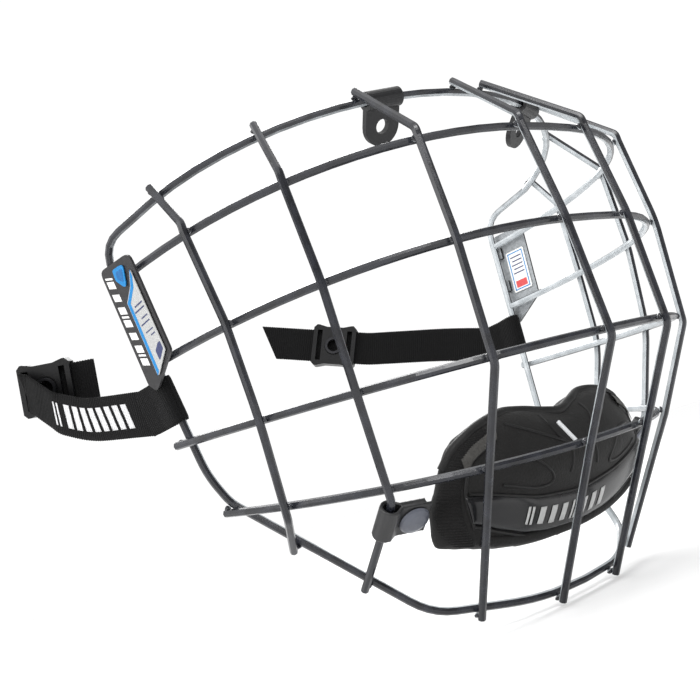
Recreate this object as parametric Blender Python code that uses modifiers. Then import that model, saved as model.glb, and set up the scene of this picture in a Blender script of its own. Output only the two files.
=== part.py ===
"""Ice hockey helmet cage: a welded wire face guard with brow brackets, label
plates, a chin cup and two side straps.

Sizes below are millimetres in the face frame: X is the wearer's left, -Y is
forward, +Z is up, and the side rims stand at y = 0 with the eye bar at z = 0.
place() turns them into metres about the origin, midway between the two brow
brackets' holes. Pieces that touch on the real cage keep a gap of 0.3 mm."""

from math import cos, pi, radians, sin, tan

import bmesh
import bpy
from mathutils import Matrix, Vector

MM = 0.001
GAP = 0.3

# Driving dimensions.
WIRE = 2.7
LAP = WIRE + 0.6
WIRE_END = 2.0
SHEET = 1.4
ORIGIN = Vector((0.0, -74.2, 51.8))
INSIDE = Vector((0.0, -25.0, -25.0))

# Hoops: half width, depth, side height, rise per mm backward, roundness, y of the ends.
HOOPS = {
    "brow": (105.3, 107.0, 29.5, -0.052, 2.43, -2.6),
    "eye": (100.4, 109.8, 0.0, -0.012, 2.50, -3.5),
    "nose": (99.6, 116.0, -27.5, 0.074, 2.27, 1.8),
    "mouth": (92.0, 91.0, -53.4, 0.155, 2.25, -3.0),
}
# Uprights: half spacing on the rim's brow edge, degrees round each hoop from its side
# (brow, eye, nose, mouth), half spacing on the rim's chin edge, and the hoop below
# which the wire bends back.
UPRIGHTS = {
    "outer": (102.4, (16.0, 15.0, 18.0, 15.5), 79.5, "mouth"),
    "side": (81.0, (36.0, 34.0, 35.0, 37.0), 68.2, "mouth"),
    "front": (50.0, (61.5, 59.5, 58.0, 57.0), 45.0, "nose"),
    "middle": (8.6, (83.0, 83.0, 82.0, 81.0), 16.8, "nose"),
}
BEND_PAST = 2.8

# The rim: its brow edge is part of a superellipse, the rest are corners with radii.
BROW = {"half": 106.4, "depth": 75.0, "y": -10.3, "z": 42.3, "rise": 0.235, "round": 2.05}
RIM_CORNERS = (
    ((107.0, -0.3, 42.6), 11.0),
    ((94.6, -2.8, -39.8), 60.0),
    ((90.4, -5.0, -50.5), 14.0),
    ((58.5, -45.9, -103.9), 22.0),
    ((26.0, -63.0, -111.3), 60.0),
)

# Brow brackets: folded sheet tabs that turn on the rim wire.
BRACKET_X = 41.2
BRACKET_W = 13.5
BRACKET_LEAF = 2.0
BRACKET_BORE = WIRE / 2 + 0.45
BRACKET_HOLE = 2.5
BRACKET_REACH = 9.0
BRACKET_DROP = Vector((0.0, 0.66, -0.75))

# Label plates, drawn flat: y along, height up. They lean out with the side rims.
SIDE_TOP = Vector(RIM_CORNERS[0][0])
SIDE_LOW = Vector(RIM_CORNERS[1][0])
SIDE_UP = (SIDE_TOP - SIDE_LOW).normalized()
PLATE_T = 0.9
PLATE_OUT = 3.5
PLATE = (((-7.5, 35.3), 0), ((-16.6, 35.3), 3.0), ((-16.6, 1.2), 2.0), ((-1.4, -8.6), 2.6), ((1.4, -5.2), 1.5),
         ((0.9, 35.3), 2.6), ((-7.4, 35.3), 0))
PLATE_BOSSES = (10.0, 26.0)
BOSS_Y = -1.6
LABEL_T = 0.3
LABEL_FIELD = (((-14.9, 20.0), 0), ((-14.9, 2.2), 0.8), ((-6.0, -4.6), 0.8), ((-6.6, 21.4), 0.8),
               ((-11.6, 25.6), 0.8), ((-14.9, 31.0), 0.6), ((-14.9, 20.1), 0))
LABEL_BADGE = (((-8.0, 33.2), 0), ((-12.6, 33.2), 1.6), ((-9.4, 25.4), 1.4), ((-5.8, 29.6), 1.4), ((-6.2, 33.2), 1.6),
               ((-7.9, 33.2), 0))
CERT_LABEL = (((-10.0, 25.0), 0), ((-14.8, 25.0), 0.8), ((-14.8, 5.6), 0.8), ((-4.6, 5.6), 0.8), ((-4.6, 25.0), 0.8),
              ((-9.9, 25.0), 0))

# Side straps: loop round the side rim, then corners with their radii.
WEB = 16.0
WEB_T = 1.1
STRAP_AT = 0.67
STRAP_LOOP = WIRE / 2 + GAP + WEB_T / 2
STITCHED = 16.0
LEFT_RUN = (((93.0, 36.0, -5.0), 60.0), ((73.0, 65.0, 5.0), 40.0), ((43.8, 105.9, 26.0), 0))
RIGHT_RUN = (((-100.8, 45.9, -5.0), 60.0), ((-103.8, 64.0, 1.1), 30.0), ((-108.0, 81.6, 12.3), 3.0),
             ((-105.2, 86.4, 16.4), 3.2), ((-84.0, 58.8, 11.3), 0))
LEFT_BUCKLE = 37.3
RIGHT_BUCKLE = 19.4
BUCKLE_L = 21.0
BUCKLE_W = 20.4
BUCKLE_T = 5.2
BUCKLE_WAIST = 1.0
CHANNEL_H = 2.0
SLOT = 2.4
SLOT_AT = 7.3
SOCKET_R = 4.2
SOCKET_BORE = 3.0
SOCKET_H = 2.0

# Chin cup: a bowl open to the back, held between the lower runs of the side uprights.
CUP_HALF = 60.0
CUP_DEPTH = 25.8
CUP_ENDS = -55.6
CUP_ROUND = 2.2
CUP_FOAM = 11.0
CUP_TOP = -53.0
CUP_WING = 4.5
CUP_LOW = -96.0
BAND_Z = -86.5
BAND_RISE = 10.5
BAND_LEAN = -0.75
BAND_H = 11.0
BAND_T = 0.9
BAND_STAND = 0.5
BINDING_Z = -73.0
BINDING_W = 15.0
BINDING_T = 0.9
CLIP_W = 12.0
CLIP_T = 1.2
CLIP_Z = -71.4
CLIP_END = Vector((64.3, -63.2, -70.0))
FLAP = 14.5
CAP_R = 5.2
CAP_AT = 9.2
CAP_H = 1.6
PEG_R = 0.7


# ---------------------------------------------------------------- helpers


def place(point):
    return (Vector(point) - ORIGIN) * MM


def material(name, color, roughness, metallic=0.0):
    found = bpy.data.materials.get(name)
    if found:
        return found
    made = bpy.data.materials.new(name)
    made.use_nodes = True
    shader = made.node_tree.nodes["Principled BSDF"]
    shader.inputs["Base Color"].default_value = (*color, 1.0)
    shader.inputs["Roughness"].default_value = roughness
    shader.inputs["Metallic"].default_value = metallic
    return made


def graphite():
    return material("graphite_paint", (0.035, 0.038, 0.045), 0.35, 0.6)


def black_plastic():
    return material("black_plastic", (0.02, 0.02, 0.022), 0.45)


def webbing():
    return material("black_webbing", (0.012, 0.012, 0.013), 0.9)


def link(obj, skin):
    obj.data.materials.append(skin)
    PARTS.objects.link(obj)
    return obj


def superellipse(angle, half, depth, power):
    """A point at the angle from the side (0) to the front (90 degrees)."""
    return (
        half * abs(cos(angle)) ** (2 / power),
        depth * abs(sin(angle)) ** (2 / power),
    )


def rounded(corners, steps=5):
    """The path through (point, radius) corners, each bend drawn in a few steps."""
    path = [Vector(corners[0][0])]
    for before, (corner, radius), after in zip(corners, corners[1:], corners[2:]):
        corner = Vector(corner)
        back = Vector(before[0]) - corner
        ahead = Vector(after[0]) - corner
        if radius <= 0 or back.angle(ahead) > pi - 0.002:
            path.append(corner)
            continue
        cut = min(radius / tan(back.angle(ahead) / 2), 0.48 * back.length, 0.48 * ahead.length)
        first = corner + back.normalized() * cut
        last = corner + ahead.normalized() * cut
        for k in range(steps + 1):
            s = k / steps
            path.append(first * (1 - s) ** 2 + corner * (2 * s * (1 - s)) + last * s**2)
    path.append(Vector(corners[-1][0]))
    return path


def lap(on, along, lead, offset=LAP):
    """A point lapped over a wire at `on`: off its line and off the path's lead, away from the face."""
    normal = along.cross(lead).normalized()
    if normal.dot(on - INSIDE) < 0:
        normal = -normal
    return on + normal * offset


# ---------------------------------------------------------------- wires


def wire(name, path, closed=False):
    curve = bpy.data.curves.new(name, "CURVE")
    curve.dimensions = "3D"
    curve.bevel_depth = WIRE / 2 * MM
    curve.bevel_resolution = 2
    curve.use_fill_caps = not closed
    line = curve.splines.new("POLY")
    line.points.add(len(path) - 1)
    for spot, point in zip(line.points, path):
        spot.co = (*place(point), 1.0)
    line.use_cyclic_u = closed
    line.use_smooth = True
    return link(bpy.data.objects.new(name, curve), graphite())


def hoop_point(name, degrees):
    """A point on the wearer's left, the degrees round from the side to the front."""
    half, depth, side_z, rise, power, end_y = HOOPS[name]
    x, back = superellipse(radians(degrees), half, depth, power)
    return Vector((x, end_y - back, side_z - rise * back))


def hoop_path(name, steps=36):
    left = [hoop_point(name, 90 * k * 2 / steps) for k in range(steps // 2 + 1)]
    return left + mirror(left)[-2::-1]


def hoop_along(name, degrees):
    return hoop_point(name, degrees + 0.5) - hoop_point(name, degrees - 0.5)


def over(name, degrees, lead):
    return lap(hoop_point(name, degrees), hoop_along(name, degrees), lead)


def half_rim():
    """From the middle of the brow round one side to the middle of the chin."""
    corners = []
    for k in range(13):
        angle = radians(90 - 6.4 * k)
        x, back = superellipse(angle, BROW["half"], BROW["depth"], BROW["round"])
        corners.append(((x, BROW["y"] - back, BROW["z"] + BROW["rise"] * back), 0.0))
    corners += RIM_CORNERS
    corners.append(((0.0, -63.8, -112.0), 0.0))
    return rounded(corners)


def rim_at(x, low, path):
    """The rim's point and direction at x, on its chin edge or on its brow edge."""
    for a, b in zip(path, path[1:]):
        on_edge = (a.z + b.z) / 2 < -45 if low else (a.z + b.z) / 2 > 45
        if on_edge and min(a.x, b.x) <= x <= max(a.x, b.x):
            return a.lerp(b, (x - a.x) / (b.x - a.x)), (b - a).normalized()
    raise ValueError(x)


def upright_path(kind, rim):
    top_x, (brow_at, eye_at, nose_at, mouth_at), low_x, last_hoop = UPRIGHTS[kind]
    down = Vector((0, 0, -1))
    brow = over("brow", brow_at, down)
    eye = over("eye", eye_at, down)
    nose = over("nose", nose_at, down)
    low, low_along = rim_at(low_x, True, rim)
    mouth_on = hoop_point("mouth", mouth_at)
    mouth = over("mouth", mouth_at, low - mouth_on if last_hoop == "nose" else mouth_on - nose)
    top, top_along = rim_at(top_x, False, rim)
    shoulder = brow + Vector((0, 0, BEND_PAST))
    top = lap(top, top_along, shoulder - top)
    top_end = top + (top - shoulder).normalized() * WIRE_END
    low = lap(low, low_along, low - mouth)
    low_end = low + (low - mouth).normalized() * WIRE_END
    if last_hoop == "nose":
        knee = nose + (nose - eye).normalized() * BEND_PAST
        tail = [(nose, 0.0), (knee, 9.0), (mouth, 0.0)]
    else:
        knee = mouth + (mouth - nose).normalized() * BEND_PAST
        tail = [(nose, 60.0), (mouth, 0.0), (knee, 9.0)]
    corners = [(top_end, 0.0), (shoulder, 6.0), (brow, 0.0), (eye, 60.0)]
    return rounded(corners + tail + [(low_end, 0.0)])


def mirror(path):
    return [Vector((-p.x, p.y, p.z)) for p in path]


# ---------------------------------------------------------------- solids


def arc(center, radius, first, last, steps):
    """Points on an arc, angles in degrees."""
    spots = []
    for k in range(steps + 1):
        angle = radians(first + (last - first) * k / steps)
        spots.append((center[0] + radius * cos(angle), center[1] + radius * sin(angle)))
    return spots


def circle(center, radius, steps=20):
    return arc(center, radius, 0, 360, steps)[:-1]


def flat(corners):
    """A closed outline from ((x, y), radius) corners."""
    path = rounded([((*spot, 0.0), radius) for spot, radius in corners], 4)
    return [(p.x, p.y) for p in path[:-1]]


def extruded(loops, thickness):
    """A mesh of the outline, loops after the first being holes, centred on its own XY plane."""
    curve = bpy.data.curves.new("outline", "CURVE")
    curve.dimensions = "2D"
    curve.fill_mode = "BOTH"
    curve.extrude = thickness / 2 * MM
    for loop in loops:
        line = curve.splines.new("POLY")
        line.points.add(len(loop) - 1)
        for spot, point in zip(line.points, loop):
            spot.co = (point[0] * MM, point[1] * MM, 0.0, 1.0)
        line.use_cyclic_u = True
    drawn = bpy.data.objects.new("outline", curve)
    bpy.context.scene.collection.objects.link(drawn)
    bpy.context.view_layer.update()
    mesh = bpy.data.meshes.new_from_object(drawn.evaluated_get(bpy.context.evaluated_depsgraph_get()))
    bpy.data.objects.remove(drawn, do_unlink=True)
    weld(mesh)
    return mesh


def weld(mesh):
    work = bmesh.new()
    work.from_mesh(mesh)
    bmesh.ops.remove_doubles(work, verts=work.verts, dist=0.01 * MM)
    bmesh.ops.recalc_face_normals(work, faces=work.faces)
    work.to_mesh(mesh)
    work.free()


def frame_matrix(origin, along, up):
    """Local X along, local Z up (made square to it), at a face-frame point."""
    x = Vector(along).normalized()
    z = (Vector(up) - x * x.dot(Vector(up))).normalized()
    y = z.cross(x)
    turn = Matrix((x, y, z)).transposed().to_4x4()
    return Matrix.Translation(place(origin)) @ turn


def solid(name, mesh, matrix, skin):
    mesh.name = name
    obj = bpy.data.objects.new(name, mesh)
    obj.matrix_world = matrix
    mesh.materials.clear()
    return link(obj, skin)


def helper(name, mesh, matrix):
    """A cutter or a piece to be joined, kept out of the model."""
    obj = bpy.data.objects.new(name, mesh)
    obj.matrix_world = matrix
    obj.hide_render = True
    obj.display_type = "WIRE"
    CUTTERS.objects.link(obj)
    return obj


def boolean(obj, other, operation):
    step = obj.modifiers.new(operation.lower(), "BOOLEAN")
    step.object = other
    step.operation = operation
    step.solver = "EXACT"


def box_mesh(x, y, z, center=(0.0, 0.0, 0.0)):
    work = bmesh.new()
    bmesh.ops.create_cube(work, size=1.0)
    bmesh.ops.scale(work, vec=(x * MM, y * MM, z * MM), verts=work.verts)
    bmesh.ops.translate(work, vec=Vector(center) * MM, verts=work.verts)
    mesh = bpy.data.meshes.new("box")
    work.to_mesh(mesh)
    work.free()
    return mesh


def turned(name, profile, matrix, skin, steps=24):
    """A solid turned about its local Z from (radius, height) points, foot first."""
    mesh = bpy.data.meshes.new(name)
    work = bmesh.new()
    rim = [work.verts.new((r * MM, 0.0, z * MM)) for r, z in profile]
    for a, b in zip(rim, rim[1:]):
        work.edges.new((a, b))
    if profile[0][0] > 0 and profile[-1][0] > 0:
        work.edges.new((rim[-1], rim[0]))
    work.to_mesh(mesh)
    work.free()
    obj = solid(name, mesh, matrix, skin)
    spin = obj.modifiers.new("turn", "SCREW")
    spin.steps = steps
    spin.render_steps = steps
    spin.use_merge_vertices = True
    spin.merge_threshold = 0.00001
    spin.use_normal_flip = True
    return obj


def ribbon(name, stations, width, thickness, skin):
    """A strap along (centre, width direction) stations: an open strip made solid."""
    mesh = bpy.data.meshes.new(name)
    work = bmesh.new()
    rows = []
    for center, across in stations:
        half = Vector(across).normalized() * width / 2
        rows.append([work.verts.new(place(center - half)), work.verts.new(place(center + half))])
    for a, b in zip(rows, rows[1:]):
        work.faces.new((a[0], a[1], b[1], b[0]))
    work.to_mesh(mesh)
    work.free()
    obj = solid(name, mesh, Matrix.Identity(4), skin)
    thick = obj.modifiers.new("thickness", "SOLIDIFY")
    thick.thickness = thickness * MM
    thick.offset = 0.0
    return obj


def smooth_path(points, steps=4):
    """A smooth curve through the points (Catmull-Rom)."""
    spots = [Vector(p) for p in points]
    spots = [spots[0] * 2 - spots[1]] + spots + [spots[-1] * 2 - spots[-2]]
    path = []
    for a, b, c, d in zip(spots, spots[1:], spots[2:], spots[3:]):
        for k in range(steps):
            s = k / steps
            path.append(
                0.5 * (2 * b + (c - a) * s + (2 * a - 5 * b + 4 * c - d) * s**2
                       + (3 * b - a - 3 * c + d) * s**3)
            )
    path.append(spots[-2])
    return path


def stations_on(path, up):
    """Each point with the width direction: `up`, made square to the path."""
    found = []
    for k, point in enumerate(path):
        along = (path[min(k + 1, len(path) - 1)] - path[max(k - 1, 0)]).normalized()
        found.append((point, up - along * along.dot(up)))
    return found


# ---------------------------------------------------------------- brackets and plates


def make_bracket(side, rim):
    on, along = rim_at(BRACKET_X, False, rim)
    drop = (BRACKET_DROP - along * along.dot(BRACKET_DROP)).normalized()
    if side < 0:
        on, along, drop = (Vector((-v.x, v.y, v.z)) for v in (on, along, drop))
    name = "brow_bracket_left" if side > 0 else "brow_bracket_right"
    across = frame_matrix(on, drop, along)
    ring = [circle((0, 0), BRACKET_BORE + SHEET, 24), circle((0, 0), BRACKET_BORE, 16)]
    bracket = solid(name, extruded(ring, BRACKET_W), across, material("black_sheet", (0.02, 0.02, 0.022), 0.4, 0.6))
    half = BRACKET_W / 2
    start = BRACKET_BORE + SHEET * 0.4
    tab = [(start, -half)] + arc((BRACKET_REACH, 0), half, -90, 90, 14) + [(start, half)]
    leaf = extruded([tab, circle((BRACKET_REACH, 0), BRACKET_HOLE, 18)], BRACKET_LEAF)
    face = frame_matrix(on, drop, along.cross(drop))
    boolean(bracket, helper(name + "_leaf", leaf, face), "UNION")
    return bracket


def plate_matrix(side, out):
    """Local X back along +Y, local Y up the side rim, at the eye bar's height."""
    share = (0 - SIDE_LOW.z) / (SIDE_TOP.z - SIDE_LOW.z)
    on = SIDE_LOW.lerp(SIDE_TOP, share)
    up = Vector((SIDE_UP.x, 0.0, SIDE_UP.z)).normalized()
    outward = Vector((up.z, 0.0, -up.x))
    spot = Vector((on.x, 0.0, 0.0)) + outward * out
    flip = Vector((side, 1.0, 1.0))
    columns = [Vector((0, 1, 0)), up * flip, outward * flip]
    turn = Matrix(columns).transposed().to_4x4()
    return Matrix.Translation(place(spot * flip)) @ turn


def flat_piece(name, corners, thickness, side, out, skin):
    mesh = extruded([flat(corners)], thickness)
    return solid(name, mesh, plate_matrix(side, out), skin)


def make_plate(side, word, skin):
    """The plate, with two bosses on its inner face that rest on the side rim."""
    name = "label_plate_" + word
    plate = flat_piece(name, PLATE, PLATE_T, side, PLATE_OUT, skin)
    lowest = WIRE / 2 + GAP
    depth = PLATE_OUT - lowest
    for k, height in enumerate(PLATE_BOSSES):
        boss = box_mesh(3.0, 5.0, depth, (BOSS_Y, height, lowest + depth / 2))
        boolean(plate, helper("%s_boss_%d" % (name, k), boss, plate_matrix(side, 0.0)), "UNION")


def make_side_labels():
    charcoal = material("charcoal_enamel", (0.05, 0.052, 0.06), 0.4)
    silver = material("label_silver", (0.62, 0.63, 0.62), 0.45)
    blue = material("label_blue", (0.02, 0.25, 0.55), 0.4)
    white = material("label_white", (0.85, 0.85, 0.83), 0.5)
    proud = PLATE_OUT + PLATE_T / 2 + GAP + LABEL_T / 2
    for side, word in ((1, "left"), (-1, "right")):
        make_plate(side, word, charcoal)
        flat_piece("label_field_" + word, LABEL_FIELD, LABEL_T, side, proud, silver)
        flat_piece("label_badge_" + word, LABEL_BADGE, LABEL_T, side, proud, blue)
    inner = PLATE_OUT - PLATE_T / 2 - GAP - LABEL_T / 2
    flat_piece("inner_label_left", CERT_LABEL, LABEL_T, 1, inner, white)


# ---------------------------------------------------------------- straps


def loop_path(side, sewn_outside):
    """The strap's end, turned round the side rim and sewn back on itself."""
    on = SIDE_LOW.lerp(SIDE_TOP, 1 - STRAP_AT) * Vector((side, 1, 1))
    up = SIDE_UP * Vector((side, 1, 1))
    back = (Vector((0, 1, 0)) - up * up.y).normalized()
    out = back.cross(up) * (side if not sewn_outside else -side)
    ply = (WEB_T + GAP) / 2 + 0.1
    turn = [(-ply, STITCHED), (-ply, 8.0), (-STRAP_LOOP, 2.2)]
    turn += [(-STRAP_LOOP * cos(radians(a)), -STRAP_LOOP * sin(radians(a))) for a in range(0, 181, 30)]
    turn += [(STRAP_LOOP, 2.2), (ply, 8.0), (ply, STITCHED)]
    return [on + out * u + back * v for u, v in turn], up


def make_strap(word, side, run, sewn_outside, buckle_at):
    """The strap and its buckle, which sits that far from the strap's tip."""
    turn, up = loop_path(side, sewn_outside)
    corners = [(Vector(spot), radius) for spot, radius in run]
    path = turn[:-1] + rounded([(turn[-1], 0), *corners], 6)
    ribbon("strap_" + word, stations_on(path, up), WEB, WEB_T, webbing())
    along = (path[-1] - path[-2]).normalized()
    face = up.cross(along)
    if face.x > 0:
        face = -face
    make_buckle(word, path[-1] - along * buckle_at, along, face)


def make_buckle(word, center, along, face):
    """The buckle slides on the strap: local X along the strap, local Z to the face with the ring."""
    where = frame_matrix(center, along, face)
    half_l, half_w = BUCKLE_L / 2, BUCKLE_W / 2
    outline = []
    for sx, sy in ((1, 1), (-1, 1), (-1, -1), (1, -1)):
        bulge = [(sx * 4.0, sy * (half_w - BUCKLE_WAIST)), (sx * 8.0, sy * half_w), (sx * (half_l - 1.5), sy * half_w),
                 (sx * half_l, sy * (half_w - 1.5))]
        outline += bulge if sx * sy > 0 else bulge[::-1]
    ordered = outline[0:4][::-1] + outline[4:8][::-1] + outline[8:12][::-1] + outline[12:16][::-1]
    buckle = solid("buckle_" + word, extruded([ordered], BUCKLE_T), where, black_plastic())
    channel = box_mesh(BUCKLE_L * 2, WEB + 1.0, CHANNEL_H)
    boolean(buckle, helper("channel_" + word, channel, where), "DIFFERENCE")
    lift = (0, 0, BUCKLE_T / 2)
    for k, spot in enumerate((-SLOT_AT, SLOT_AT)):
        window = box_mesh(SLOT, WEB - 1.0, BUCKLE_T, (spot, 0, lift[2]))
        boolean(buckle, helper("slot_%d_%s" % (k, word), window, where), "DIFFERENCE")
    bore = extruded([circle((0, 0), SOCKET_R + GAP)], BUCKLE_T)
    bore_at = where @ Matrix.Translation(Vector(lift) * MM)
    boolean(buckle, helper("bore_" + word, bore, bore_at), "DIFFERENCE")
    foot = CHANNEL_H / 2 + GAP
    ring = [(SOCKET_BORE, foot), (SOCKET_R, foot), (SOCKET_R, foot + SOCKET_H), (SOCKET_BORE, foot + SOCKET_H)]
    turned("snap_socket_" + word, ring, where, material("gunmetal", (0.05, 0.05, 0.055), 0.35, 0.8))


def make_straps():
    make_strap("left", 1, LEFT_RUN, False, LEFT_BUCKLE)
    make_strap("right", -1, RIGHT_RUN, True, RIGHT_BUCKLE)


# ---------------------------------------------------------------- chin cup


def cup_point(angle, inset):
    """(x, y) on the bowl's outline, the right end at 0 degrees."""
    x, ahead = superellipse(radians(angle), CUP_HALF - inset, CUP_DEPTH - inset, CUP_ROUND)
    return (x if angle < 90 else -x), CUP_ENDS - ahead


def cup_top(x):
    share = abs(x) / CUP_HALF
    return CUP_TOP + CUP_WING * sin(pi * share / 0.94) ** 2 - 20.0 * max(0.0, share * 6.0 - 5.0) ** 2


def cup_low(x):
    return CUP_LOW + 10.0 * (abs(x) / CUP_HALF) ** 2


def make_cup():
    mesh = bpy.data.meshes.new("chin_cup")
    work = bmesh.new()
    rows = []
    for k in range(21):
        angle = 180.0 * k / 20
        x, front = cup_point(angle, 0.0)
        inner_x, inner_front = cup_point(angle, CUP_FOAM)
        top, low = cup_top(x), cup_low(x)
        lean = cup_lean(x)
        heights = [(5.0, top), (2.0, top - 5.0), (0.0, -72.0), (1.5, -79.0), (7.0, low + 6.0), (13.0, low)]
        skin = [Vector((x, front + y * lean, z)) for y, z in heights]
        back = [Vector((inner_x, inner_front + y * lean, z)) for y, z in heights]
        ring = skin + back[::-1]
        rows.append([work.verts.new(place(p)) for p in ring])
    for a, b in zip(rows, rows[1:]):
        for i in range(len(a)):
            j = (i + 1) % len(a)
            work.faces.new((a[i], b[i], b[j], a[j]))
    work.faces.new(rows[0])
    work.faces.new(rows[-1][::-1])
    bmesh.ops.recalc_face_normals(work, faces=work.faces)
    work.to_mesh(mesh)
    work.free()
    cup = solid("chin_cup", mesh, Matrix.Identity(4), material("cup_foam", (0.02, 0.02, 0.021), 0.85))
    soft = cup.modifiers.new("soft", "SUBSURF")
    soft.levels = 1
    soft.render_levels = 1
    mesh.shade_smooth()


def skin_y(x, front, z):
    """How far the bowl's front leans back at a height."""
    low = cup_low(x)
    steps = [(cup_top(x), 5.0), (cup_top(x) - 5.0, 2.0), (-72.0, 0.0), (-79.0, 1.5), (low + 6.0, 7.0), (low, 13.0)]
    for (z1, y1), (z2, y2) in zip(steps, steps[1:]):
        if z2 <= z <= z1:
            return front + (y1 + (y2 - y1) * (z1 - z) / (z1 - z2)) * cup_lean(x)
    return front


def cup_lean(x):
    return 0.35 + 0.65 * (1 - min(1.0, abs(x) / CUP_HALF) ** 2) ** 0.5


def wrap(first, last, steps, stand, height, rise=0.0, lean=0.0):
    """Stations on the bowl's front between two angles."""
    found = []
    for k in range(steps + 1):
        x, y = cup_point(first + (last - first) * k / steps, -stand)
        z = height + rise * (x / CUP_HALF) ** 2
        slope = lean * cup_lean(x)
        found.append((Vector((x, skin_y(x, y, z) if rise else y, z)), Vector((0, slope, 1))))
    return found


def make_band_and_bindings():
    gloss = material("band_gloss", (0.012, 0.012, 0.014), 0.25)
    knit = material("binding_knit", (0.016, 0.016, 0.017), 0.9)
    stand = BAND_STAND + BAND_T / 2
    ribbon("chin_band", wrap(25, 155, 20, stand, BAND_Z, BAND_RISE, BAND_LEAN), BAND_H, BAND_T, gloss)
    for word, first, last in (("left", 4, 20), ("right", 160, 176)):
        ribbon("cup_binding_" + word, wrap(first, last, 6, GAP + BINDING_T / 2, BINDING_Z), BINDING_W, BINDING_T, knit)


def make_clip(word, side, low_wire):
    """The tab from the cup, turned round the side upright's lower run and snapped on itself."""
    flip = Vector((side, 1, 1))
    knee, end = low_wire
    down = (end - knee).normalized()
    on = knee.lerp(end, (CLIP_Z - knee.z) / (end.z - knee.z))
    run = CLIP_END - on
    run -= down * run.dot(down)
    toward = run.normalized()
    out = toward.cross(down)
    if out.y > 0:
        out = -out
    radius = WIRE / 2 + GAP + 0.5 + CLIP_T / 2
    ply = (CLIP_T + GAP) / 2 + 0.1
    turn = [(ply, FLAP), (ply, 3.8), (radius, 1.2)]
    turn += [(radius * cos(radians(a)), -radius * sin(radians(a))) for a in range(0, 181, 30)]
    turn += [(-radius, 1.2), (-ply, 3.8), (-ply, run.length)]
    path = [(on + out * u + toward * v) * flip for u, v in turn]
    ribbon("chin_clip_" + word, [(p, down * flip) for p in path], CLIP_W, CLIP_T, black_plastic())
    snap = on + toward * CAP_AT
    skin = material("snap_cap_satin", (0.06, 0.065, 0.08), 0.4, 0.5)
    rise = ply + CLIP_T / 2 + GAP
    outer = frame_matrix((snap + out * rise) * flip, toward * flip, out * flip)
    dome = [(0.0, 0.0), (CAP_R, 0.0), (CAP_R * 0.9, CAP_H * 0.45), (CAP_R * 0.6, CAP_H * 0.85), (0.0, CAP_H)]
    turned("snap_cap_" + word, dome, outer, skin)
    inner = frame_matrix((snap - out * rise) * flip, toward * flip, -out * flip)
    disc = [(0.0, 0.0), (CAP_R - 1.0, 0.0), (CAP_R - 1.0, 0.6), (CAP_R - 1.4, 1.0), (0.0, 1.0)]
    turned("snap_stud_" + word, disc, inner, skin)


def make_peg():
    on = hoop_point("mouth", UPRIGHTS["middle"][1][3]) * Vector((-1, 1, 1))
    lean = Vector((0.0, 4.5, 8.0)).normalized()
    start = on + Vector((0.0, 1.0, 0.7)).normalized() * (WIRE / 2 + GAP + PEG_R)
    curve = bpy.data.curves.new("chin_peg", "CURVE")
    curve.dimensions = "3D"
    curve.bevel_depth = PEG_R * MM
    curve.bevel_resolution = 2
    curve.use_fill_caps = True
    line = curve.splines.new("POLY")
    line.points.add(1)
    for spot, point in zip(line.points, (start, start + lean * 8.5)):
        spot.co = (*place(point), 1.0)
    link(bpy.data.objects.new("chin_peg", curve), graphite())


def start():
    for obj in list(bpy.data.objects):
        bpy.data.objects.remove(obj, do_unlink=True)
    made = []
    for name in ("helmet_cage", "cutters"):
        collection = bpy.data.collections.new(name)
        bpy.context.scene.collection.children.link(collection)
        made.append(collection)
    made[1].hide_render = True
    return made


def main():
    half = half_rim()
    wire("rim_wire", half + mirror(half)[-2:0:-1], closed=True)
    for name in HOOPS:
        wire(name + "_bar", hoop_path(name))
    for kind in UPRIGHTS:
        path = upright_path(kind, half)
        wire(kind + "_upright_left", path)
        wire(kind + "_upright_right", mirror(path))
        if kind == "side":
            low_wire = (path[-2], path[-1])
    for side in (1, -1):
        make_bracket(side, half)
    make_side_labels()
    make_straps()
    make_cup()
    make_band_and_bindings()
    for word, side in (("left", 1), ("right", -1)):
        make_clip(word, side, low_wire)
    make_peg()


PARTS, CUTTERS = start()
main()
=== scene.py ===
"""Looks of the hockey helmet cage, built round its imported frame.

F() takes the face frame of the model's source: millimetres, X to the wearer's
left, -Y out of the face, +Z up, with the side rims at y = 0 and the eye bar at
z = 0. The scene itself is in metres about the middle of the brow brackets' holes.
"""

from bisect import bisect_right
from math import cos, hypot, pi, radians, sin, tan

import bmesh
import bpy
from mathutils import Euler, Matrix, Vector
from mathutils.bvhtree import BVHTree


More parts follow.
